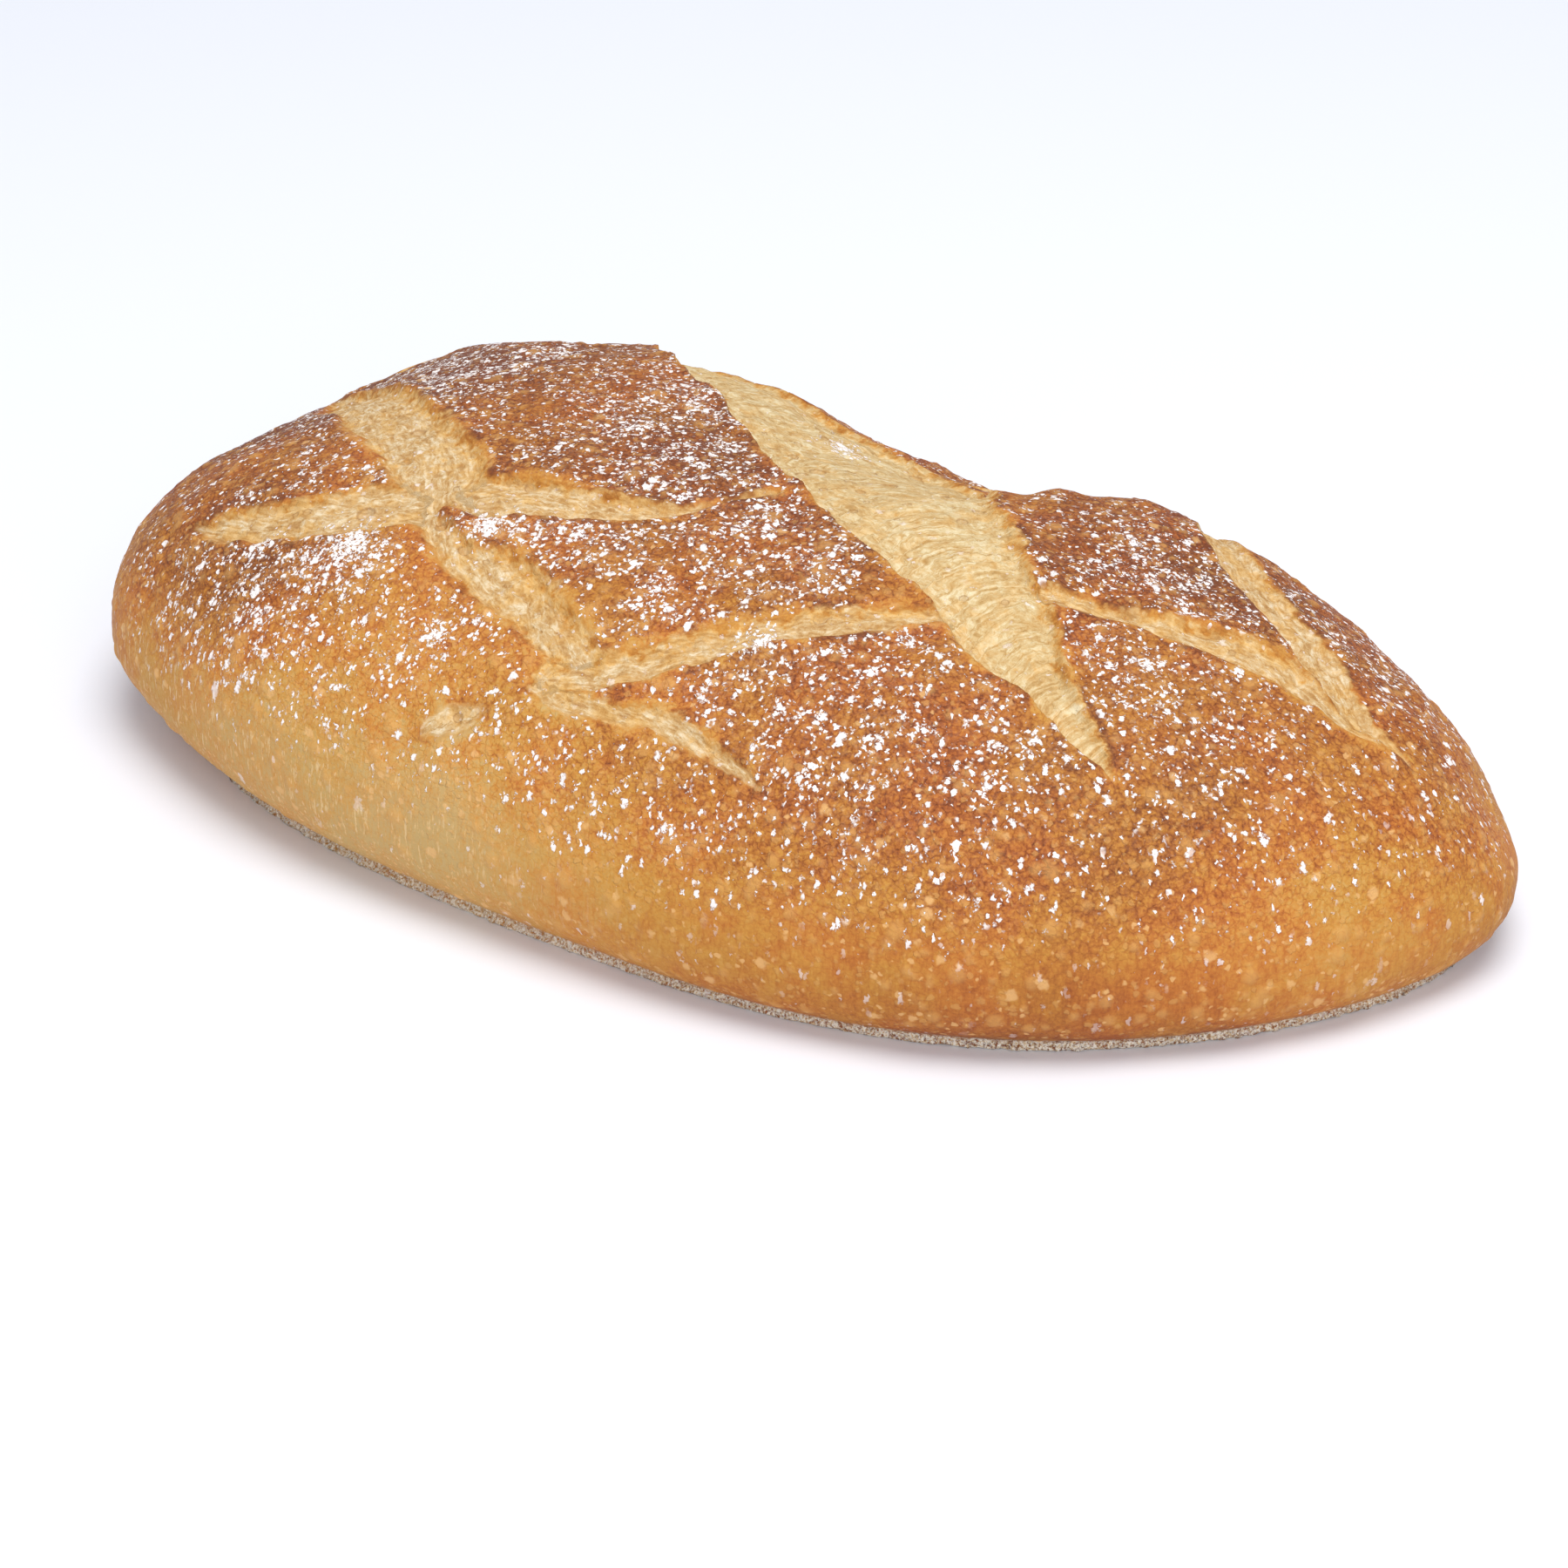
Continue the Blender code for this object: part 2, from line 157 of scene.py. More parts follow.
# Tongues of crust left standing in the cuts
TONGUES = {
    "middle plate": [(-62, -42.5, 1.2), (-54, -44, 2.4), (-45, -43, 4.4)],
    "near plate": [(-2, -70.2, 1.0), (4, -68, 2.2), (12, -63.5, 4.0)],
}
WALL = 2.4 * MM  # run of a cut's side from crust to floor
FLOOR_BULGE = 0.14  # share of a cut's depth that its floor swells back
BLEND = 1.6 * MM  # rounding where the floors of two cuts meet
LIP_REACH = 3.4 * MM
SKIRT = 9.0 * MM  # relief fades out this near the base


def swing(along):
    """Sideways place of the body's middle."""
    return SKEW_RIGHT * np.clip(along, 0.0, None) ** 3 + SKEW_LEFT * np.clip(-along, 0.0, None) ** 3


def body_level(points):
    """1 on the plain body's surface, less inside it."""
    x, y, z = points[..., 0], points[..., 1], points[..., 2]
    along = x / HALF_LENGTH
    wide = HALF_WIDTH * (1.0 + TAPER * along + EGG * (along * along - 0.3))
    across = (y - swing(along)) / wide
    turn = along / np.maximum(np.hypot(along, across), 1e-9)
    power = PLAN_POWER + PLAN_POWER_SHIFT * turn
    plan = (np.abs(along) ** power + np.abs(across) ** power) ** (1.0 / power)
    waist = WAIST * (1.0 + WAIST_SLOPE * along)
    crown = CROWN * (1.0 + CROWN_SLOPE * along + CROWN_CURVE * along ** 2 + CROWN_LEAN * across)
    power = ARCH_POWER + ARCH_POWER_SHIFT * turn
    rise = np.clip((z - waist) / (crown - waist), 0.0, None)
    upper = (plan ** power + rise ** power) ** (1.0 / power)
    power = ROLL_POWER + ROLL_POWER_SHIFT * turn
    share = BASE_SHARE + BASE_SHARE_SHIFT * turn
    drop = np.clip(1.0 - z / waist, 0.0, 1.0)
    rim = RIM * np.clip(1.0 - z / RIM_HEIGHT, 0.0, 1.0) ** 2
    reach = share + (1.0 - share) * ((1.0 - drop ** power) ** (1.0 / power) + rim)
    level = np.where(z >= waist, upper, plan / reach)
    return np.where(z < 0.0, 2.0, level)


def body_point(x, roll):
    """Where a ray from the middle of the section at x meets the plain body; roll 0 is up, 90 is +Y."""
    along = x / HALF_LENGTH
    middle = swing(along)
    centre = WAIST * (1.0 + WAIST_SLOPE * along)
    near = np.zeros_like(x * roll)
    far = np.full_like(near, 0.16)
    for _ in range(36):
        reach = 0.5 * (near + far)
        y = middle + reach * np.sin(roll)
        points = np.stack([x + 0.0 * reach, y, centre + reach * np.cos(roll)], -1)
        inside = body_level(points) < 1.0
        near = np.where(inside, reach, near)
        far = np.where(inside, far, reach)
    y = middle + near * np.sin(roll)
    return np.stack([x + 0.0 * near, y, np.maximum(centre + near * np.cos(roll), 0.0)], -1)


def body_top(x, y):
    """Height of the plain body over a plan position."""
    low = WAIST * (1.0 + WAIST_SLOPE * x / HALF_LENGTH)
    high = low + CROWN
    for _ in range(32):
        middle = 0.5 * (low + high)
        inside = body_level(np.stack([x, y, middle], -1)) < 1.0
        low = np.where(inside, middle, low)
        high = np.where(inside, high, middle)
    return low


def ripple(points, wavelength, seed):
    """Seeded smooth bumps between -1 and 1."""
    size = 32
    table = np.random.default_rng(seed).uniform(-1.0, 1.0, (size, size, size))
    scaled = points / wavelength
    corner = np.floor(scaled).astype(int)
    part = scaled - corner
    part = part * part * (3.0 - 2.0 * part)
    total = np.zeros(points.shape[:-1])
    for i in (0, 1):
        for j in (0, 1):
            for k in (0, 1):
                weight = np.ones(points.shape[:-1])
                for axis, step in enumerate((i, j, k)):
                    share = part[..., axis]
                    weight = weight * (share if step else 1.0 - share)
                cell = [(corner[..., axis] + step) % size for axis, step in enumerate((i, j, k))]
                total += weight * table[cell[0], cell[1], cell[2]]
    return total


def smooth_line(knots, step):
    """A curve through the knots, sampled about every step."""
    knots = np.array(knots, float)
    ends = np.vstack([2.0 * knots[0] - knots[1], knots, 2.0 * knots[-1] - knots[-2]])
    found = []
    for i in range(1, len(ends) - 2):
        before, start, stop, after = ends[i - 1:i + 3]
        count = max(1, int(math.ceil(np.linalg.norm(stop[:2] - start[:2]) / step)))
        for t in np.arange(count) / count:
            a = 2.0 * start
            b = (stop - before) * t
            c = (2.0 * before - 5.0 * start + 4.0 * stop - after) * t * t
            d = (3.0 * start - before - 3.0 * stop + after) * t ** 3
            found.append(0.5 * (a + b + c + d))
    found.append(knots[-1])
    return np.array(found)


def line_field(points, knots):
    """Distance outside a tapering line's edge, place across and along it, half width, and the way out."""
    line = smooth_line(knots, 3.5) * MM
    half = np.maximum(line[:, 2], 0.3 * MM)
    middle = np.stack([line[:, 0], line[:, 1], body_top(line[:, 0], line[:, 1])], -1)
    best = np.full(len(points), 1e9)
    across = np.zeros(len(points))
    along = np.zeros(len(points))
    width = np.ones(len(points)) * MM
    way = np.zeros_like(points)
    run = 0.0
    for start, stop, w0, w1 in zip(middle[:-1], middle[1:], half[:-1], half[1:]):
        edge = stop - start
        length = np.linalg.norm(edge)
        share = np.clip((points - start) @ edge / length ** 2, 0.0, 1.0)
        gap = points - (start + share[:, None] * edge)
        distance = np.linalg.norm(gap, axis=1)
        wide = w0 + (w1 - w0) * share
        closer = distance - wide < best
        side = np.where(edge[0] * gap[:, 1] > edge[1] * gap[:, 0], 1.0, -1.0)
        best = np.where(closer, distance - wide, best)
        across = np.where(closer, distance * side, across)
        along = np.where(closer, run + share * length, along)
        width = np.where(closer, wide, width)
        way = np.where(closer[:, None], gap / np.maximum(distance, 1e-9)[:, None], way)
        run += length
    return best, across, along, width, way


def smooth_step(value):
    value = np.clip(value, 0.0, 1.0)
    return value * value * (3.0 - 2.0 * value)


def slump(points, way):
    """How far the upward-facing crust sank in broad hollows."""
    drop = np.zeros(len(points))
    for x, y, long, wide, deep in SLUMPS:
        far = ((points[:, 0] / MM - x) / long) ** 2 + ((points[:, 1] / MM - y) / wide) ** 2
        upward = smooth_step(1.6 * way[:, 2]) if deep > 0.0 else 1.0
        drop = drop + deep * MM * np.exp(-far) * upward
    return drop


def outward(points):
    """Directions square to the plain body."""
    step = 0.1 * MM
    slopes = []
    for axis in range(3):
        move = np.zeros(3)
        move[axis] = step
        slopes.append(body_level(points + move) - body_level(points - move))
    way = np.stack(slopes, -1)
    return way / np.maximum(np.linalg.norm(way, axis=-1, keepdims=True), 1e-12)


def even(values, lengths, count):
    """Values spread so that each step covers the same length."""
    run = np.concatenate([[0.0], np.cumsum(lengths)])
    return np.interp(np.linspace(0.0, run[-1], count), run, values)


def stations(count):
    """Places along the loaf, closer together where the ends round off."""
    fine = HALF_LENGTH * np.sin(np.linspace(-0.5, 0.5, 3001) * math.pi * 0.9995)
    steps = np.zeros(len(fine) - 1)
    for roll in (0.0, 0.25 * math.pi, 0.5 * math.pi):
        edge = body_point(fine, roll)
        steps = np.maximum(steps, np.linalg.norm(np.diff(edge, axis=0), axis=1))
    return even(fine, steps, count)


def turns(count, base_share):
    """Directions round a section, sparser across the flat base."""
    fine = np.linspace(-math.pi, math.pi, 4001)
    ring = body_point(np.zeros_like(fine), fine)
    steps = np.linalg.norm(np.diff(ring, axis=0), axis=1)
    flat = (ring[1:, 2] < 1e-6) & (ring[:-1, 2] < 1e-6)
    return even(fine, np.where(flat, base_share * steps, steps), count + 1)[:-1]


# How far the baked colour fades in from the +Y and -Y edges of each cut, mm
BANDS = {
    "main": (4.8, 2.0),
    "west": (7.0, 4.0),
    "west tail": (4.0, 2.0),
    "east": (2.5, 2.0),
    "low west": (5.0, 3.5),
    "low cross": (6.5, 2.2),
    "mid cross": (9.5, 2.0),
    "mid cross end": (6.0, 2.0),
    "nick": (1.4, 1.4),
    "far cross": (4.0, 3.0),
    "far west cross": (4.5, 3.5),
}

# Cuts whose crust thins out softly instead of breaking at a ragged edge
SOFT = {
    "west": 0.75, "west tail": 0.5, "low west": 1.0, "low cross": 0.6, "mid cross": 0.5, "mid cross end": 0.6, "nick": 0.6,
    "main": 0.15, "east": 0.3,
}

# How finely the skin is made
RINGS = 820
TURNS = 560
TRIANGLES = 196000

# Where the crust baked darker (positive) or stayed golden: x, y, z, reach and amount, mm
BAKED = [
    (-45, 15, 72, 55, 0.16),
    (10, -35, 62, 50, 0.10),
    (62, 22, 66, 34, 0.12),
    (110, 35, 45, 36, 0.16),
    (-125, 14, 50, 34, 0.54),
    (-152, 6, 26, 28, 0.28),
    (-150, -48, 16, 30, 0.16),
    (-112, -52, 48, 28, 0.14),
    (85, -45, 40, 38, 0.02),
    (-98, -60, 46, 26, 0.22),
    (-95, -80, 20, 58, -0.28),
    (-20, -90, 22, 55, -0.34),
    (40, -85, 8, 40, 0.02),
    (95, -62, 8, 34, 0.06),
    (140, -20, 30, 30, -0.14),
    (155, 25, 10, 30, 0.06),
]
# How floury each part of the top is: x, y, reach, fine dust and larger flakes, mm
FLOURED = [
    (-36, 24, 34, 0.52, 0.14),
    (-80, 48, 26, 0.10, -0.02),
    (75, 22, 24, 0.34, 0.22),
    (112, 42, 26, 0.24, 0.05),
    (-10, -24, 30, 0.02, 0.46),
    (-42, -42, 12, 0.15, 0.40),
    (22, -42, 26, -0.02, 0.34),
    (70, -52, 26, 0.06, 0.16),
    (60, -72, 30, 0.10, 0.06),
    (95, -12, 26, 0.12, 0.22),
    (-122, 18, 25, 0.80, 0.36),
    (-112, -6, 12, 0.30, 0.05),
    (-86, -62, 30, 0.34, 0.26),
    (146, -6, 26, -0.10, -0.12),
    (100, -66, 34, -0.10, -0.12),
    (-150, -40, 24, -0.04, -0.12),
]
# Where flour lies in thick clumps: x, y, radius, mm
CLUMPS = [
    (-50, -43, 5.5), (-76, -57, 7.5), (22, -48, 5.0), (-47, 4, 3.2), (-30, -38, 3.0), (-98, -60, 3.2),
    (-44, -70, 4.0), (-20, 52, 5.0), (48, -34, 2.6), (-90, 38, 4.5), (-6, -45, 3.0), (34, -60, 2.6), (88, -10, 2.6),
]
BLISTERS = 1500
HOLES = 64


def domes(points, centres, radii, ring_size):
    """Low round domes at the centres: 1 at the top of each and 0 between them."""
    height = np.zeros(len(points))
    size = np.zeros(len(points))
    for centre, radius in zip(centres, radii):
        near = np.searchsorted(RING_X, [centre[0] - 1.1 * radius, centre[0] + 1.1 * radius])
        low = max(near[0] - 1, 0) * ring_size
        high = min(near[1] + 1, len(RING_X)) * ring_size
        far = np.linalg.norm(points[low:high] - centre, axis=1) / radius
        bump = np.clip(1.0 - far * far, 0.0, 1.0) ** 1.3
        higher = bump > height[low:high]
        height[low:high] = np.where(higher, bump, height[low:high])
        size[low:high] = np.where(higher, radius, size[low:high])
    return height, size


def scatter(points, areas, allowed, radii, ring_size, rng):
    """Domes of the given radii, spread evenly over the allowed part of the skin."""
    places = np.flatnonzero(allowed)
    odds = areas[places] / areas[places].sum()
    chosen = rng.choice(places, len(radii), replace=False, p=odds)
    return domes(points, points[chosen], radii, ring_size)


def strands(run, cross, seed):
    """Stringy crumb pulled across a cut, between -1 and 1."""
    total = np.zeros(len(run))
    for pitch, stretch, share in ((1.9, 7.0, 0.35), (3.6, 5.0, 0.45), (8.0, 3.0, 0.5)):
        place = np.stack([run, cross / stretch, np.full(len(run), seed * 40.0 * MM)], -1)
        total += share * ripple(place, pitch * MM, 51 + int(10 * pitch))
    return total


def deeper(first, second):
    """The larger of two depths, rounded where they are nearly equal."""
    near = np.clip(1.0 - np.abs(first - second) / BLEND, 0.0, 1.0)
    return np.maximum(first, second) + 0.25 * BLEND * near * near * (np.minimum(first, second) > 0.0)


def fields(points, way, areas, ring_size):
    """Rise of the skin, its sideways lift at the crust's lips, and the masks that the crust's material reads."""
    warp = np.stack([ripple(points, 16.0 * MM, seed) for seed in (11, 12, 13)], -1) * 1.6 * MM
    warp += np.stack([ripple(points, 5.0 * MM, seed) for seed in (14, 15, 16)], -1) * 0.8 * MM
    warp += np.stack([ripple(points, 2.4 * MM, seed) for seed in (17, 18, 19)], -1) * 0.4 * MM
    places = points + warp
    islands = np.full(len(points), 1e9)
    for knots in TONGUES.values():
        islands = np.minimum(islands, line_field(places, knots)[0])
    count = len(points)
    outside = np.full(count, 1e9)
    toast = np.ones(count)
    depth = np.zeros(count)
    lift = np.zeros(count)
    sink = np.zeros(count)
    run = np.zeros(count)
    cross = np.zeros(count)
    lean = np.zeros((count, 3))
    pale = np.zeros(count)
    soft = np.zeros(count)
    stringy = np.zeros(count)
    weights = np.full(count, 1e-6)
    for index, (name, knots) in enumerate(CUTS.items()):
        far_deep, near_deep, far_lift, near_lift = SHAPES[name]
        far_band, near_band = BANDS[name]
        gap, across, along, wide, out = line_field(places, knots)
        gap = np.maximum(gap, -islands)
        size = np.minimum(1.0, 0.25 + 0.75 * wide / (5.0 * MM))
        share = smooth_step(0.5 + 0.5 * across / wide)
        deep = near_deep + (far_deep - near_deep) * share
        band = (near_band + (far_band - near_band) * share) * np.minimum(1.0, 0.2 + 0.8 * wide / (6.0 * MM)) * MM
        inner = smooth_step(-gap / np.minimum(WALL * (0.7 + 0.9 * share), 0.8 * wide))
        bulge = 1.0 - FLOOR_BULGE * np.clip(1.0 - (across / wide) ** 2, 0.0, 1.0)
        depth = deeper(depth, deep * MM * size * inner * bulge)
        side = np.where(across > 0.0, far_lift, near_lift)
        shoulder = side * MM * size * np.exp(-np.maximum(gap, 0.0) / LIP_REACH)
        lift = np.maximum(lift, shoulder)
        sink = np.minimum(sink, shoulder)
        toast = np.minimum(toast, np.clip(1.0 + gap / band, 0.0, 1.0))
        closer = gap < outside
        if name == "main":
            thread = along + 0.12 * across - 0.48 * across * across / wide
            length = across
        else:
            thread = across + 0.15 * along
            length = along
        run = np.where(closer, thread + index * 90.0 * MM, run)
        cross = np.where(closer, length, cross)
        lean = np.where(closer[:, None], -out * side[:, None], lean)
        pale = np.where(closer, 1.0 if name == "main" else 0.4, pale)
        soft = np.where(closer, SOFT.get(name, 0.0), soft)
        weight = smooth_step(-gap / (4.0 * MM) - 0.4)
        stringy += weight * strands(thread, length, index)
        weights += weight
        outside = np.minimum(outside, gap)
    ragged = 0.75 + 0.9 * ripple(points, 9.0 * MM, 21)
    lift = (lift * ragged + sink) * smooth_step(1.0 + outside / WALL)
    crust = smooth_step(outside / (2.5 * MM) + 0.2)
    high = smooth_step((points[:, 2] - 0.3 * CROWN) / (0.4 * CROWN))
    swell = (0.9 * ripple(points, 42.0 * MM, 31) + 0.5 * ripple(points, 20.0 * MM, 32)) * MM
    grain = 0.45 * ripple(points, 8.0 * MM, 33) + 0.3 * ripple(points, 4.5 * MM, 34)
    grain = (grain + 0.26 * ripple(points, 2.4 * MM, 36) + 0.14 * ripple(points, 1.4 * MM, 38)) * MM
    floor = 0.5 * ripple(points, 7.0 * MM, 35) * MM
    deepness = smooth_step(-outside / (2.5 * MM))
    floor = floor + deepness * stringy / weights * 0.28 * MM
    rough = 1.0 + 0.5 * toast
    floor = floor + rough * deepness * (0.30 * ripple(points, 3.2 * MM, 39) + 0.20 * ripple(points, 1.7 * MM, 40)) * MM
    rise = swell + (0.35 + 0.65 * high) * crust * grain + (1.0 - crust) * floor + lift - depth
    rise = rise - slump(points, way)

    rng = np.random.default_rng(71)
    radii = (0.9 + 1.5 * rng.random(BLISTERS) ** 3) * MM
    upper = (points[:, 2] > 4.0 * MM) & (outside > 1.5 * MM)
    spots, size = scatter(points, areas, upper, radii, ring_size, rng)
    rise = rise + 0.17 * spots * size
    radii = (0.8 + 1.6 * rng.random(HOLES) ** 2) * MM
    holes, size = scatter(points, areas, outside < -2.2 * MM, radii, ring_size, rng)
    rise = rise - 0.55 * holes * size

    rise = rise * smooth_step(points[:, 2] / SKIRT)
    rim = 1.0 - smooth_step((points[:, 2] - 1.6 * MM) / (1.6 * MM))
    rise = rise + 0.5 * MM * rim * ripple(points, 1.6 * MM, 37) * (points[:, 2] > 0.2 * MM)
    lip = np.exp(-((outside - 0.3 * MM) / (1.2 * MM)) ** 2) * np.clip(ragged, 0.0, 1.6)
    side = lean * (0.3 * MM * lip)[:, None]

    bake = 0.48 + 0.20 * high + 0.10 * ripple(points, 30.0 * MM, 61)
    for x, y, z, reach, amount in BAKED:
        far = np.sum((points / MM - (x, y, z)) ** 2, axis=1) / reach ** 2
        bake = bake + amount * np.exp(-far)
    bake = bake + 0.34 * np.exp(-points[:, 2] / (8.0 * MM))
    dust = np.full(count, 0.14)
    flakes = np.full(count, 0.17)
    for x, y, reach, fine, coarse in FLOURED:
        far = ((points[:, 0] / MM - x) ** 2 + (points[:, 1] / MM - y) ** 2) / reach ** 2
        dust = dust + fine * np.exp(-far)
        flakes = flakes + coarse * np.exp(-far)
    caught = smooth_step((way[:, 2] - 0.10) / 0.55) * (1.0 - 0.6 * np.exp(-np.maximum(outside, 0.0) / (1.6 * MM)))
    clump = np.zeros(count)
    for x, y, radius in CLUMPS:
        far = ((points[:, 0] / MM - x) ** 2 + (points[:, 1] / MM - y) ** 2) / radius ** 2
        clump = clump + np.exp(-far) * (points[:, 2] > 25.0 * MM)
    masks = {
        "edge": np.clip(outside / MM, -20.0, 20.0),
        "toast": toast,
        "run": run / MM,
        "cross": cross / MM,
        "pale": pale,
        "soft": soft,
        "bake": np.clip(bake, 0.0, 1.0),
        "dust": np.clip(dust * caught, 0.0, 1.0),
        "flakes": np.clip(flakes * caught, 0.0, 1.0),
        "flank": 1.0 - smooth_step((way[:, 2] - 0.10) / 0.58),
        "streak": (1.0 - smooth_step((way[:, 2] - 0.10) / 0.58)) * smooth_step((40.0 * MM - points[:, 0]) / (90.0 * MM)),
        "clump": np.clip(clump, 0.0, 1.0),
        "spot": np.clip(1.6 * spots, 0.0, 1.0),
        "hole": np.clip(1.6 * holes, 0.0, 1.0),
        "rim": rim,
    }
    return rise, side, masks


def loaf_skin():
    """One closed skin: points, faces and masks, with a single point at each end."""
    global RING_X
    RING_X = stations(RINGS)
    rolls = turns(TURNS, 0.3)
    skin = body_point(RING_X[:, None], rolls[None, :])
    wide = np.linalg.norm(np.roll(skin, -1, axis=1) - skin, axis=2)
    long = np.linalg.norm(np.gradient(skin, axis=0), axis=2)
    areas = (wide * long).reshape(-1)
    skin = skin.reshape(-1, 3)
    way = outward(skin)
    flat = skin[:, 2] < 1e-6
    way[flat] = (0.0, 0.0, -1.0)
    rise, side, masks = fields(skin, way, areas, TURNS)
    skin = skin + way * rise[:, None] + side
    skin[:, 2] = np.where(flat, 0.0, np.maximum(skin[:, 2], 0.0))
    first = skin[:TURNS].mean(0) + (-0.2 * MM, 0.0, 0.0)
    last = skin[-TURNS:].mean(0) + (0.2 * MM, 0.0, 0.0)
    points = np.vstack([skin, first, last])
    masks = {name: np.concatenate([mask, mask[:1], mask[-1:]]) for name, mask in masks.items()}
    i = np.arange(RINGS - 1)[:, None] * TURNS
    j = np.arange(TURNS)[None, :]
    k = (j + 1) % TURNS
    quads = np.stack([i + j, i + TURNS + j, i + TURNS + k, i + k], -1).reshape(-1, 4)
    tail = len(skin)
    start = (RINGS - 1) * TURNS
    j = j[0]
    k = k[0]
    caps = np.vstack([
        np.stack([np.full(TURNS, tail), j, k], -1),
        np.stack([np.full(TURNS, tail + 1), start + k, start + j], -1),
    ])
    return points, quads, caps, masks


def loaf_piece():
    points, quads, caps, masks = loaf_skin()
    low, high = (np.array(corner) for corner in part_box("loaf"))
    found_low = points.min(0)
    found_high = points.max(0)
    shift = 0.5 * (low + high) - 0.5 * (found_low + found_high)
    points = points + (shift[0], shift[1], 0.0)
    faces = quads.tolist() + caps.tolist()
    mesh = bpy.data.meshes.new("crusty_loaf")
    mesh.from_pydata(points.tolist(), [], faces)
    mesh.update()
    for name, mask in masks.items():
        layer = mesh.attributes.new(name, "FLOAT", "POINT")
        layer.data.foreach_set("value", mask.astype(np.float32))
    loaf = bpy.data.objects.new("crusty_loaf", mesh)
    bpy.context.scene.collection.objects.link(loaf)
    thin = loaf.modifiers.new("thin", "DECIMATE")
    thin.ratio = min(1.0, TRIANGLES / (2.0 * RINGS * TURNS))
    graph = bpy.context.evaluated_depsgraph_get()
    kept = bpy.data.meshes.new_from_object(loaf.evaluated_get(graph))
    loaf.modifiers.clear()
    loaf.data = kept
    bpy.data.meshes.remove(mesh)
    kept.name = "crusty_loaf"
    for face in kept.polygons:
        face.use_smooth = True
    kept.update()
    print("loaf skin", len(kept.polygons), "faces", "shift", shift)
    return loaf


class Nodes:
    """Short calls for building a material's node tree."""

    def __init__(self, name):
        self.material = bpy.data.materials.new(name)
        self.material.use_nodes = True
        self.tree = self.material.node_tree
        self.surface = self.tree.nodes["Principled BSDF"]

    def put(self, socket, value):
        if hasattr(value, "is_output"):
            self.tree.links.new(value, socket)
        else:
            socket.default_value = value

    def node(self, kind, **settings):
        made = self.tree.nodes.new(kind)
        for key, value in settings.items():
            setattr(made, key, value)
        return made

    def mask(self, name):
        return self.node("ShaderNodeAttribute", attribute_name=name).outputs["Fac"]

    def math(self, kind, first, second=0.0, third=0.0, clamp=False):
        made = self.node("ShaderNodeMath", operation=kind, use_clamp=clamp)
        for socket, value in zip(made.inputs, (first, second, third)):
            self.put(socket, value)
        return made.outputs[0]

    def ramp(self, value, low, high, to_low=0.0, to_high=1.0):
        made = self.node("ShaderNodeMapRange", interpolation_type="SMOOTHSTEP")
        for socket, given in zip(made.inputs, (value, low, high, to_low, to_high)):
            self.put(socket, given)
        return made.outputs[0]

    def mix(self, share, first, second, kind="MIX"):
        made = self.node("ShaderNodeMix", data_type="RGBA", blend_type=kind)
        self.put(made.inputs[0], share)
        self.put(made.inputs[6], first)
        self.put(made.inputs[7], second)
        return made.outputs[2]

    def noise(self, place, per_mm, detail=2.0, rough=0.5, warp=0.0):
        made = self.node("ShaderNodeTexNoise")
        self.put(made.inputs["Vector"], place)
        made.inputs["Scale"].default_value = per_mm
        made.inputs["Detail"].default_value = detail
        made.inputs["Roughness"].default_value = rough
        made.inputs["Distortion"].default_value = warp
        return made.outputs["Fac"]

    def cells(self, place, per_mm, feature="F1", output="Distance"):
        made = self.node("ShaderNodeTexVoronoi", feature=feature)
        self.put(made.inputs["Vector"], place)
        made.inputs["Scale"].default_value = per_mm
        return made.outputs[output]

    def moved(self, place, per_mm, amount):
        """The place, moved about a little."""
        made = self.node("ShaderNodeTexNoise")
        self.put(made.inputs["Vector"], place)
        made.inputs["Scale"].default_value = per_mm
        made.inputs["Detail"].default_value = 1.0
        centred = self.node("ShaderNodeVectorMath", operation="SUBTRACT")
        self.put(centred.inputs[0], made.outputs["Color"])
        centred.inputs[1].default_value = (0.5, 0.5, 0.5)
        scaled = self.node("ShaderNodeVectorMath", operation="SCALE")
        self.put(scaled.inputs[0], centred.outputs[0])
        scaled.inputs["Scale"].default_value = 2.0 * amount
        total = self.node("ShaderNodeVectorMath", operation="ADD")
        self.put(total.inputs[0], place)
        self.put(total.inputs[1], scaled.outputs[0])
        return total.outputs[0]

    def stops(self, value, colours):
        made = self.node("ShaderNodeValToRGB")
        self.put(made.inputs[0], value)
        while len(made.color_ramp.elements) < len(colours):
            made.color_ramp.elements.new(0.5)
        for element, (place, colour) in zip(made.color_ramp.elements, colours):
            element.position = place
            element.color = colour
        return made.outputs[0]


def shade(red, green, blue):
    """A linear colour from its 0 to 255 screen values."""
    linear = []
    for value in (red, green, blue):
        share = value / 255.0
        linear.append(share / 12.92 if share <= 0.04045 else ((share + 0.055) / 1.055) ** 2.4)
    return (*linear, 1.0)


def flakes(n, place, per_mm, density, size, ragged):
    """Separate irregular flakes, one to a cell, where density is high: 1 on a flake."""
    middle = n.cells(place, per_mm)
    which = n.node("ShaderNodeSeparateColor")
    n.put(which.inputs[0], n.cells(place, per_mm, "F1", "Color"))
    present = n.ramp(n.math("SUBTRACT", density, which.outputs[0]), -0.03, 0.03)
    radius = n.math("MULTIPLY_ADD", which.outputs[1], size, 0.35 * size)
    rough_edge = n.math("MULTIPLY", n.math("SUBTRACT", ragged, 0.5), 1.0)
    inside = n.math("SUBTRACT", n.math("ADD", radius, rough_edge), middle)
    return n.math("MULTIPLY", n.ramp(inside, -0.06, 0.12), present)


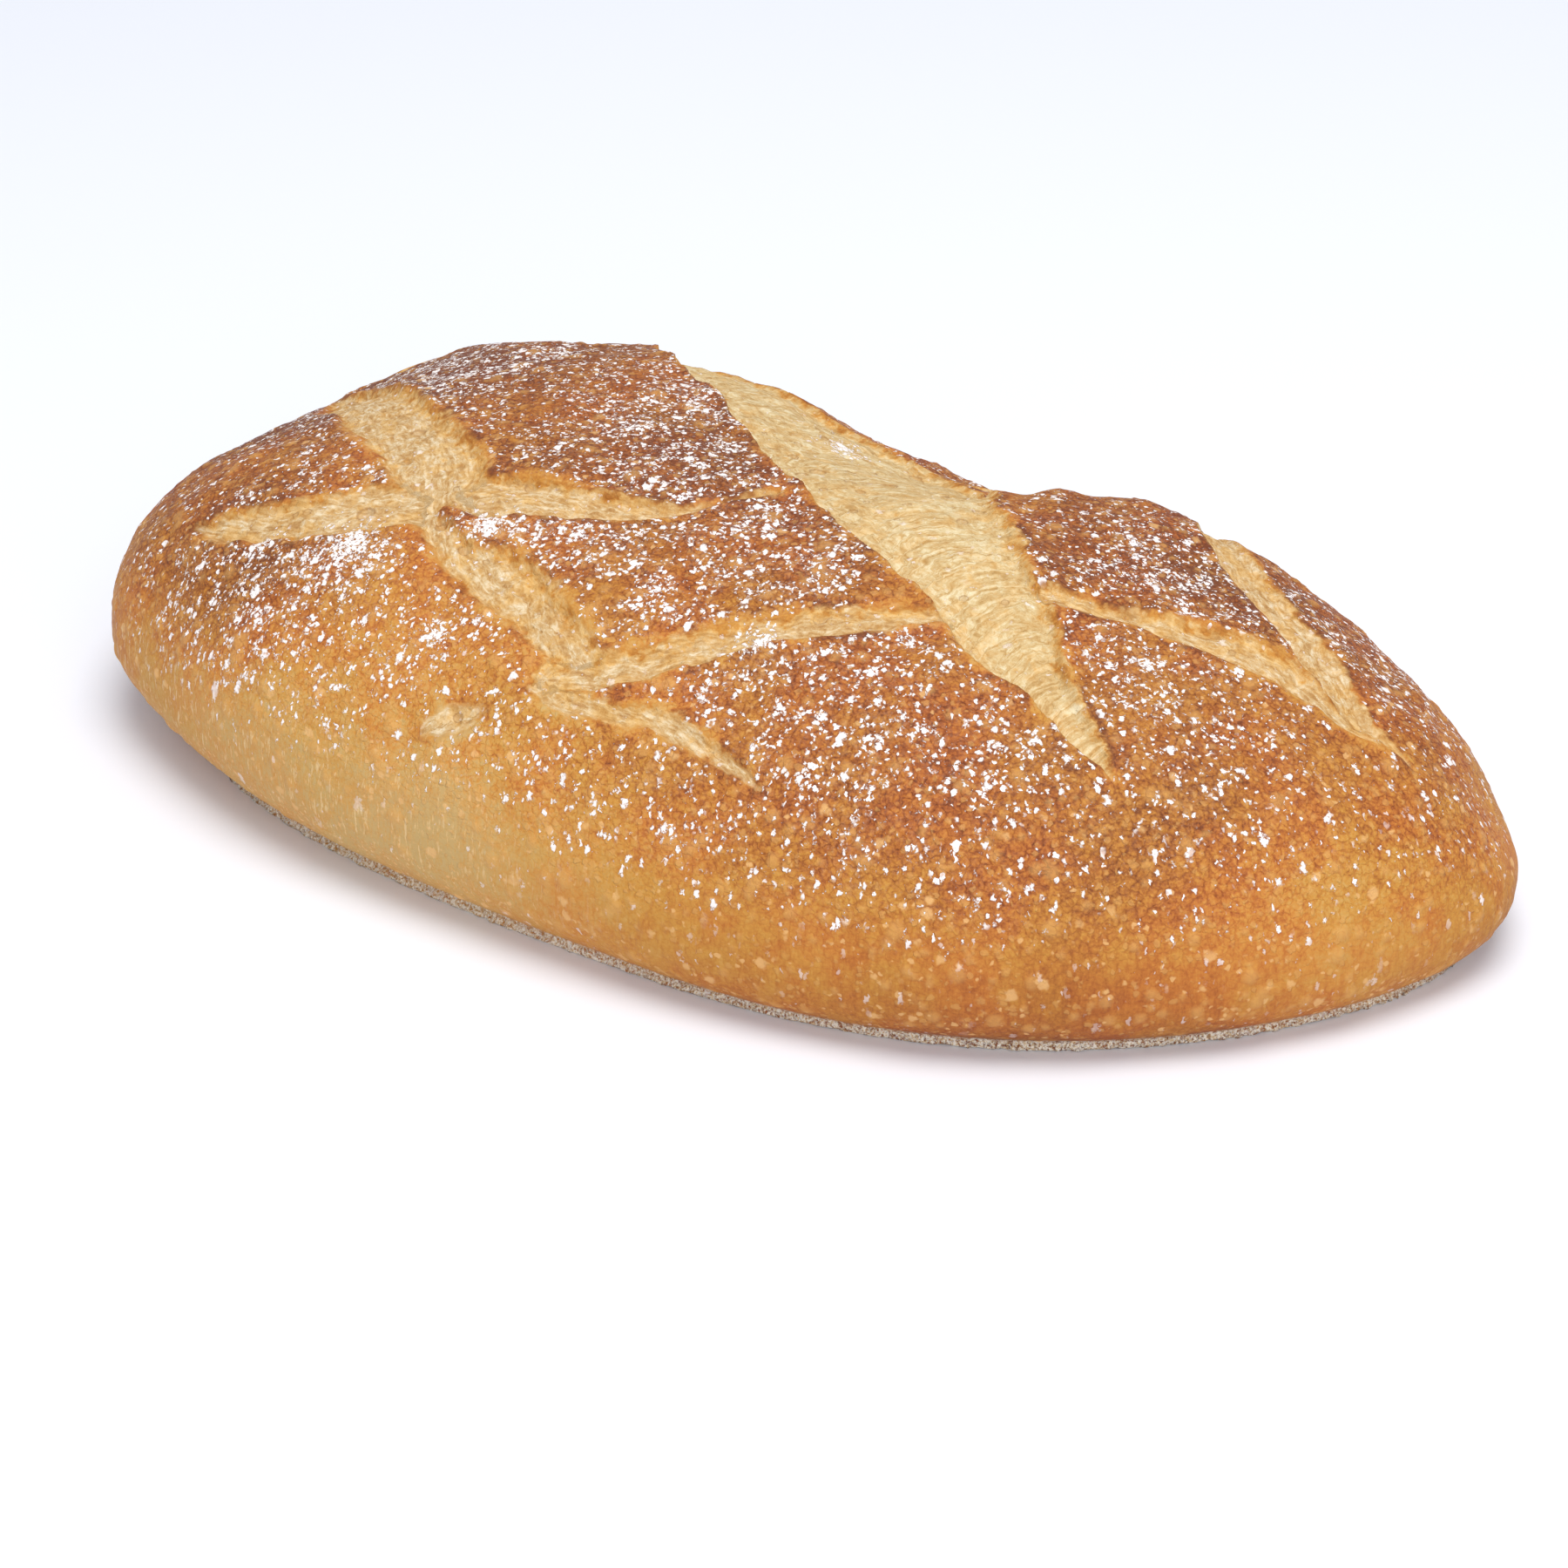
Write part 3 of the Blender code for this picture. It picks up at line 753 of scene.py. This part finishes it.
def crust_material():
    n = Nodes("crust")
    texture = n.node("ShaderNodeTexCoord")
    scale = n.node("ShaderNodeVectorMath", operation="SCALE")
    n.put(scale.inputs[0], texture.outputs["Object"])
    scale.inputs["Scale"].default_value = 1000.0
    place = scale.outputs[0]
    moved = n.moved(place, 0.8, 0.7)
    edge = n.mask("edge")
    toast = n.mask("toast")
    pale = n.mask("pale")
    spot = n.mask("spot")
    hole = n.mask("hole")
    rim = n.mask("rim")
    flank = n.mask("flank")
    streak = n.mask("streak")

    # crust: a dark red-brown net round lighter ochre cells, streaked down the flanks
    squashed = n.node("ShaderNodeVectorMath", operation="MULTIPLY")
    n.put(squashed.inputs[0], place)
    squashed.inputs[1].default_value = (1.0, 1.0, 0.17)
    streaks = n.noise(squashed.outputs[0], 1.2, 4.0, 0.66)
    tall = n.node("ShaderNodeVectorMath", operation="MULTIPLY")
    n.put(tall.inputs[0], moved)
    tall.inputs[1].default_value = (1.0, 1.0, 0.45)
    tall = tall.outputs[0]
    patches = n.noise(place, 0.10, 3.0, 0.55)
    mottle = n.noise(place, 0.40, 4.0, 0.60, 0.3)
    freckle = n.noise(place, 1.4, 2.0, 0.55)
    net = n.ramp(n.cells(moved, 0.55, "DISTANCE_TO_EDGE"), 0.16, 0.0)
    calm = n.math("MULTIPLY_ADD", flank, -0.60, 1.0)
    tone = n.math("ADD", n.mask("bake"), n.math("MULTIPLY", n.math("SUBTRACT", patches, 0.5), 0.34))
    busy = n.math("MULTIPLY", n.math("SUBTRACT", mottle, 0.5), 0.60)
    busy = n.math("ADD", busy, n.math("MULTIPLY", n.math("SUBTRACT", freckle, 0.5), 0.74))
    busy = n.math("ADD", busy, n.math("MULTIPLY", net, 0.14))
    tone = n.math("ADD", tone, n.math("MULTIPLY", busy, calm))
    streaky = n.math("MULTIPLY", n.math("SUBTRACT", streaks, 0.5), 1.1)
    tone = n.math("ADD", tone, n.math("MULTIPLY", streaky, n.math("MULTIPLY_ADD", flank, 0.35, n.math("MULTIPLY", streak, 0.65))))
    burnt = n.math("MULTIPLY", n.ramp(edge, 2.4, 0.2), n.ramp(n.noise(place, 0.13, 2.0), 0.40, 0.60, -0.30, 0.20))
    tone = n.math("ADD", tone, burnt, clamp=True)
    ochre = n.stops(tone, [
        (0.0, shade(197, 163, 104)), (0.22, shade(200, 153, 82)), (0.42, shade(196, 138, 60)),
        (0.60, shade(180, 116, 48)), (0.80, shade(151, 89, 38)), (1.0, shade(113, 60, 30)),
    ])
    russet = n.stops(tone, [
        (0.0, shade(199, 161, 102)), (0.22, shade(203, 150, 80)), (0.42, shade(201, 134, 60)),
        (0.60, shade(186, 111, 48)), (0.80, shade(157, 84, 38)), (1.0, shade(115, 58, 30)),
    ])
    crust = n.mix(n.ramp(n.noise(place, 0.05, 4.0, 0.60), 0.36, 0.64), ochre, russet)
    which = n.node("ShaderNodeSeparateColor")
    n.put(which.inputs[0], n.cells(moved, 0.50, "F1", "Color"))
    size = n.math("MULTIPLY_ADD", which.outputs[1], 0.26, 0.20)
    inside = n.math("SUBTRACT", size, n.cells(moved, 0.50))
    small = n.math("MULTIPLY", n.ramp(inside, -0.04, 0.12), n.ramp(which.outputs[0], 0.26, 0.50))
    bubble = n.math("MAXIMUM", spot, n.math("MULTIPLY", small, 0.85))
    crust = n.mix(n.math("MULTIPLY", bubble, 0.52), crust, shade(212, 158, 90))
    blob = flakes(n, moved, 0.24, n.math("MULTIPLY_ADD", flank, 0.22, 0.12), 0.26, 0.5)
    blob = n.math("MAXIMUM", blob, flakes(n, moved, 0.52, n.math("MULTIPLY_ADD", flank, 0.26, 0.10), 0.28, 0.5))
    crust = n.mix(n.math("MULTIPLY", blob, 0.70), crust, shade(228, 178, 116))
    bright = n.math("MULTIPLY", n.ramp(streaks, 0.54, 0.66), n.math("MULTIPLY", streak, 0.80))
    crust = n.mix(bright, crust, shade(226, 196, 144))

    # floors of the cuts
    strand_place = n.node("ShaderNodeCombineXYZ")
    n.put(strand_place.inputs[0], n.mask("run"))
    n.put(strand_place.inputs[1], n.math("MULTIPLY", n.mask("cross"), n.math("MULTIPLY_ADD", pale, -0.34, 0.43)))
    n.put(strand_place.inputs[2], n.math("MULTIPLY", n.noise(place, 0.25, 1.0), 2.0))
    threads = n.noise(strand_place.outputs[0], 1.0, 4.0, 0.60, 0.45)
    bands = n.noise(strand_place.outputs[0], 0.42, 3.0, 0.55, 0.3)
    crumb = n.noise(place, 0.9, 4.0, 0.68, 0.5)
    light = n.math("ADD", n.math("MULTIPLY", threads, 0.80), n.math("MULTIPLY", bands, 0.30))
    light = n.math("ADD", light, n.math("MULTIPLY", crumb, 0.45))
    light = n.ramp(light, 0.55, 1.0)
    side_floor = n.stops(light, [
        (0.0, shade(172, 126, 74)), (0.30, shade(196, 156, 102)), (0.60, shade(208, 178, 132)),
        (1.0, shade(232, 214, 182)),
    ])
    main_floor = n.stops(light, [
        (0.0, shade(180, 140, 84)), (0.28, shade(202, 168, 114)), (0.58, shade(213, 187, 138)),
        (1.0, shade(234, 219, 182)),
    ])
    floor = n.mix(n.ramp(pale, 0.5, 0.9), side_floor, main_floor)
    golden = n.math("ADD", n.math("MULTIPLY", n.noise(place, 0.20, 4.0, 0.66, 0.4), 0.65), n.math("MULTIPLY", bands, 0.35))
    golden = n.ramp(golden, 0.46, 0.60)
    golden = n.math("MULTIPLY", golden, n.math("MULTIPLY_ADD", pale, -0.28, 0.82))
    baked = n.mix(light, shade(184, 130, 62), shade(224, 180, 108))
    floor = n.mix(golden, floor, baked)
    # painted shade: a dark line round the rim of each gas hole in the crumb and a darker tone inside it stand in for
    # the shade in these hollows
    ring = n.math("MULTIPLY", n.ramp(hole, 0.05, 0.30), n.ramp(hole, 0.75, 0.40))
    floor = n.mix(n.math("MULTIPLY", ring, 0.50), floor, shade(144, 98, 56))
    floor = n.mix(n.math("MULTIPLY", n.ramp(hole, 0.5, 0.9), 0.50), floor, shade(186, 152, 108))

    # baked fade from the crust's edge down to the floor
    ragged = n.math("SUBTRACT", n.noise(place, 0.45, 4.0, 0.65), 0.5)
    blotch = n.math("SUBTRACT", n.noise(place, 0.22, 3.0, 0.6), 0.5)
    fibre = n.math("MULTIPLY", n.math("SUBTRACT", crumb, 0.5), 0.7)
    fade = n.math("ADD", n.math("MULTIPLY", ragged, 1.9), n.math("MULTIPLY", blotch, 2.0))
    fade = n.math("ADD", toast, n.math("ADD", fade, fibre))
    skin = n.mix(n.ramp(fade, 0.15, 0.85, 0.0, 0.85), floor, baked)
    brown = n.mix(light, shade(164, 100, 38), shade(206, 146, 68))
    skin = n.mix(n.ramp(fade, 0.60, 1.05), skin, brown)
    border = n.math("ADD", edge, n.math("MULTIPLY", ragged, 3.6))
    border = n.math("ADD", border, n.math("MULTIPLY", blotch, 2.6))
    soft = n.mask("soft")
    border_low = n.math("MULTIPLY_ADD", soft, -2.0, -0.70)
    border_high = n.math("MULTIPLY_ADD", soft, 0.9, 0.50)
    skin = n.mix(n.ramp(border, border_low, border_high), skin, crust)

    # flour
    clump = n.mask("clump")
    on_crust = n.ramp(edge, -1.2, 0.6, 0.05, 1.0)
    drift = n.math("MULTIPLY_ADD", n.math("SUBTRACT", n.noise(place, 0.11, 2.0, 0.6), 0.5), 4.2, 1.0)
    drift = n.math("MULTIPLY_ADD", n.math("SUBTRACT", n.noise(place, 0.33, 2.0, 0.5), 0.5), 3.2, drift)
    drift = n.math("MAXIMUM", drift, 0.05)
    drift = n.math("MULTIPLY", drift, on_crust)
    dust = n.math("MULTIPLY", n.mask("dust"), drift)
    dust = n.math("ADD", dust, n.math("MULTIPLY", clump, 0.8), clamp=True)
    coarse = n.math("MULTIPLY", n.mask("flakes"), drift)
    coarse = n.math("ADD", coarse, n.math("MULTIPLY", clump, 0.8), clamp=True)
    uneven = n.noise(place, 1.2, 3.0, 0.60)
    uneven_fine = n.noise(place, 2.6, 2.0, 0.6)
    few = n.math("MULTIPLY_ADD", flank, -0.40, 0.62)
    either = n.math("MAXIMUM", dust, coarse)
    large = flakes(n, tall, 0.40, n.math("MULTIPLY", coarse, few), 0.36, uneven)
    middle = flakes(n, tall, 0.72, n.math("MULTIPLY", either, 0.60), 0.40, uneven)
    small = flakes(n, tall, 1.0, n.math("MULTIPLY_ADD", coarse, 0.42, n.math("MULTIPLY", dust, 0.40)), 0.46, uneven_fine)
    grit = flakes(n, tall, 1.7, n.math("MULTIPLY", dust, 0.30), 0.46, uneven_fine)
    specks = n.math("MAXIMUM", n.math("MAXIMUM", large, middle), n.math("MAXIMUM", small, grit))
    heap = n.ramp(n.math("ADD", n.math("MULTIPLY", clump, 0.55), n.math("MULTIPLY", uneven, 0.9)), 0.88, 0.96)
    specks = n.math("MAXIMUM", specks, heap)
    veil = n.math("MULTIPLY", n.math("MAXIMUM", dust, coarse), n.ramp(uneven, 0.42, 0.62))
    skin = n.mix(n.math("MULTIPLY", veil, 0.15), skin, shade(232, 206, 180))
    skin = n.mix(n.math("MULTIPLY", specks, 0.97), skin, shade(250, 240, 236))

    # grainy rim where the loaf met the floured board
    grains = n.noise(place, 1.6, 3.0, 0.7)
    rim_share = n.math("MULTIPLY", rim, n.ramp(grains, 0.34, 0.56))
    grain_tone = n.mix(n.ramp(n.noise(place, 2.2, 2.0), 0.38, 0.56), shade(226, 200, 160), shade(255, 248, 232))
    skin = n.mix(n.math("MULTIPLY", rim_share, 0.9), skin, grain_tone)
    n.put(n.surface.inputs["Base Color"], skin)

    rough = n.math("MULTIPLY_ADD", n.ramp(edge, -2.0, 0.5), -0.20, 0.78)
    rough = n.math("ADD", rough, n.math("MULTIPLY", specks, 0.3), clamp=True)
    n.put(n.surface.inputs["Roughness"], rough)
    n.surface.inputs["Specular IOR Level"].default_value = 0.18

    pores = n.math("ADD", n.noise(place, 1.2, 3.0, 0.6), n.math("MULTIPLY", net, -0.35))
    pores = n.math("MULTIPLY", n.math("MULTIPLY", pores, calm), n.ramp(edge, -1.0, 1.0))
    fibres = n.math("MULTIPLY", threads, n.math("MULTIPLY_ADD", toast, -0.4, 0.7))
    fibres = n.math("ADD", fibres, n.math("MULTIPLY", crumb, 1.1))
    fibres = n.math("MULTIPLY", fibres, n.ramp(edge, 0.0, -1.5))
    height = n.math("ADD", n.math("ADD", pores, fibres), n.math("MULTIPLY", specks, 0.8))
    height = n.math("ADD", height, n.math("MULTIPLY", bubble, 0.5))
    height = n.math("ADD", height, n.math("MULTIPLY", rim_share, 0.6))
    bump = n.node("ShaderNodeBump")
    bump.inputs["Strength"].default_value = 0.75
    bump.inputs["Distance"].default_value = 0.35 * MM
    n.put(bump.inputs["Height"], height)
    n.put(n.surface.inputs["Normal"], bump.outputs[0])
    return n.material


def floor_material():
    n = Nodes("pale floor")
    n.surface.inputs["Base Color"].default_value = (0.84, 0.85, 0.90, 1.0)
    n.surface.inputs["Roughness"].default_value = 0.7
    return n.material


def add_floor():
    bpy.ops.mesh.primitive_plane_add(size=8.0, location=(0.0, 0.0, cad_box[0][2]))
    floor = bpy.context.object
    floor.name = "floor"
    floor.data.materials.append(floor_material())


def add_light(name, place, size, power, colour=(1.0, 1.0, 1.0)):
    data = bpy.data.lights.new(name, "AREA")
    data.shape = "DISK"
    data.size = size
    data.energy = power
    data.color = colour
    light = bpy.data.objects.new(name, data)
    light.location = place
    light.rotation_euler = (-Vector(place)).to_track_quat("-Z", "Y").to_euler()
    bpy.context.scene.collection.objects.link(light)


def add_camera():
    data = bpy.data.cameras.new("camera")
    data.lens = CAMERA_LENS
    data.sensor_width = 36.0
    camera = bpy.data.objects.new("camera", data)
    camera.location = CAMERA_PLACE
    aim = Vector(CAMERA_AIM) - Vector(CAMERA_PLACE)
    camera.rotation_euler = aim.to_track_quat("-Z", "Y").to_euler()
    bpy.context.scene.collection.objects.link(camera)
    bpy.context.scene.camera = camera


# Camera, metres and millimetres of lens
CAMERA_PLACE = (0.3772, -0.5787, 0.4038)
CAMERA_AIM = (-0.0006, -0.0022, -0.0003)
CAMERA_LENS = 83.0

loaf = loaf_piece()
loaf.data.materials.clear()
loaf.data.materials.append(crust_material())
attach(loaf, "root")
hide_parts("loaf")

add_floor()
add_light("key", (0.30, -0.20, 2.0), 1.3, 27.5, (1.0, 0.985, 0.955))
add_light("fill", (1.1, -1.2, 1.1), 1.4, 10.0)
world = bpy.data.worlds.new("studio")
world.use_nodes = True
world.node_tree.nodes["Background"].inputs[0].default_value = (0.87, 0.92, 1.0, 1.0)
world.node_tree.nodes["Background"].inputs[1].default_value = 0.62
bpy.context.scene.world = world
bpy.context.scene.view_settings.view_transform = "Standard"
add_camera()
